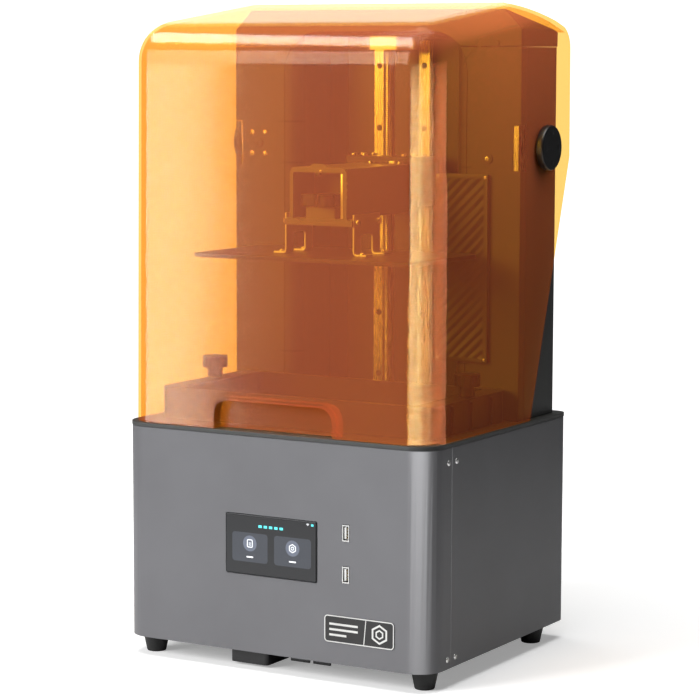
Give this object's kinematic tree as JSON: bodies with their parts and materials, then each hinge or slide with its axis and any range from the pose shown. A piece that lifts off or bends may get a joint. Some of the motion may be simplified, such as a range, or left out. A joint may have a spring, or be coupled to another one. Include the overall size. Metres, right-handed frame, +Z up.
{
  "type": "resin printer",
  "caption": "Desktop resin 3D printer: grey sheet metal base with touchscreen, dark tower with Z drive and build plate over a resin vat, under a hinged orange transparent lid.",
  "frame": {"origin": "bottom centre of the whole object, on the plane the feet stand on", "axes": "+X to the machine's right seen from the front, +Y to the rear, +Z up"},
  "size_m": [0.3464, 0.2816, 0.6188],
  "materials": {
    "base_metal": "satin grey powder coat",
    "dark_metal": "fine matt dark grey powder coat",
    "orange_acrylic": "clear orange acrylic",
    "black_plastic": "satin black",
    "rubber": "matt",
    "steel": "ground",
    "aluminium": "bead blasted",
    "dark_anodised": "dark anodised, fine satin",
    "screen_glass": "black glass",
    "clear_sheet": "clear sheet",
    "circuit_board": "solder mask",
    "brass": "machined",
    "carbon": "granular"
  },
  "bodies": {
    "printer": {"badge_plate": "black_plastic", "base_floor_plate": "dark_metal", "base_front_panel": "base_metal", "base_rear_shell": "base_metal", "carbon_filter": "carbon", "deck_plate": "dark_metal", "field_lens": "clear_sheet", "floor_fan_frame": "black_plastic", "foot_front_left": "rubber", "foot_front_right": "rubber", "foot_rear_left": "rubber", "foot_rear_right": "rubber", "heat_sink": "aluminium", "hinge_block_left": "steel", "hinge_block_right": "steel", "lcd_panel": "screen_glass", "light_housing": "black_plastic", "mainboard": "circuit_board", "power_inlet": "black_plastic", "power_supply": "aluminium", "rear_fan_frame": "black_plastic", "release_film": "clear_sheet", "screw_bearing": "aluminium", "touchscreen": "screen_glass", "tower_front_left": "dark_metal", "tower_front_right": "dark_metal", "tower_rear_cover": "dark_metal", "tower_top_cap": "dark_metal", "usb_port_lower": "steel", "usb_port_upper": "steel", "vat": "black_plastic", "vent_panel": "dark_metal", "z_bay_liner": "dark_metal", "z_column": "dark_anodised", "z_motor": "black_plastic", "z_rail_left": "steel", "z_rail_right": "steel"},
    "lid": {"lid_shell": "orange_acrylic", "pivot_disc_left": "black_plastic", "pivot_disc_right": "black_plastic", "hinge_pin_left": "steel", "hinge_pin_right": "steel"},
    "platform": {"z_carriage": "black_plastic", "rail_block_left": "steel", "rail_block_right": "steel", "screw_nut": "brass", "platform_arm": "dark_anodised", "portal_plate": "dark_anodised", "clamp_yoke": "dark_anodised", "platform_bracket_left": "aluminium", "platform_bracket_right": "aluminium", "build_plate": "dark_anodised"},
    "drive_screw": {"lead_screw": "steel", "shaft_coupler": "aluminium"},
    "clamp_knob": {"clamp_knob": "black_plastic"},
    "vat_screw_left": {"vat_screw_left": "black_plastic"},
    "vat_screw_right": {"vat_screw_right": "black_plastic"},
    "rear_fan_rotor": {"rear_fan_rotor": "black_plastic"},
    "floor_fan_rotor": {"floor_fan_rotor": "black_plastic"},
    "power_switch": {"power_switch": "black_plastic"}
  },
  "joints": [
    {"name": "lid_hinge", "type": "hinge", "parent": "printer", "child": "lid", "pos_m": [0, 0.085, 0.483], "axis": [-1, 0, 0], "range_deg": [0, 85]},
    {"name": "z_slide", "type": "slide", "parent": "printer", "child": "platform", "axis": [0, 0, 1], "range_m": [-0.1475, 0.085]},
    {"name": "screw_spin", "type": "hinge", "parent": "printer", "child": "drive_screw", "pos_m": [0, 0.077, 0.4], "axis": [0, 0, 1], "range_deg": [-3830, 6642.5]},
    {"name": "clamp_knob_turn", "type": "hinge", "parent": "platform", "child": "clamp_knob", "pos_m": [0, -0.046, 0.4345], "axis": [0, 0, 1], "range_deg": [0, 270]},
    {"name": "vat_screw_left_turn", "type": "hinge", "parent": "printer", "child": "vat_screw_left", "pos_m": [-0.1395, -0.021, 0.2656], "axis": [0, 0, 1], "range_deg": [0, 360]},
    {"name": "vat_screw_right_turn", "type": "hinge", "parent": "printer", "child": "vat_screw_right", "pos_m": [0.1395, -0.021, 0.2656], "axis": [0, 0, 1], "range_deg": [0, 360]},
    {"name": "rear_fan_spin", "type": "hinge", "parent": "printer", "child": "rear_fan_rotor", "pos_m": [-0.085, 0.1311, 0.118], "axis": [0, 1, 0], "continuous": true},
    {"name": "floor_fan_spin", "type": "hinge", "parent": "printer", "child": "floor_fan_rotor", "pos_m": [-0.035, -0.103, 0.0112], "axis": [0, 0, 1], "continuous": true},
    {"name": "power_switch_rock", "type": "hinge", "parent": "printer", "child": "power_switch", "pos_m": [0.105, 0.1325, 0.089], "axis": [1, 0, 0], "range_deg": [0, 14]}
  ],
  "couplings": [
    {"joint": "screw_spin", "follows": "z_slide", "rad_per_m": -785.4}
  ]
}
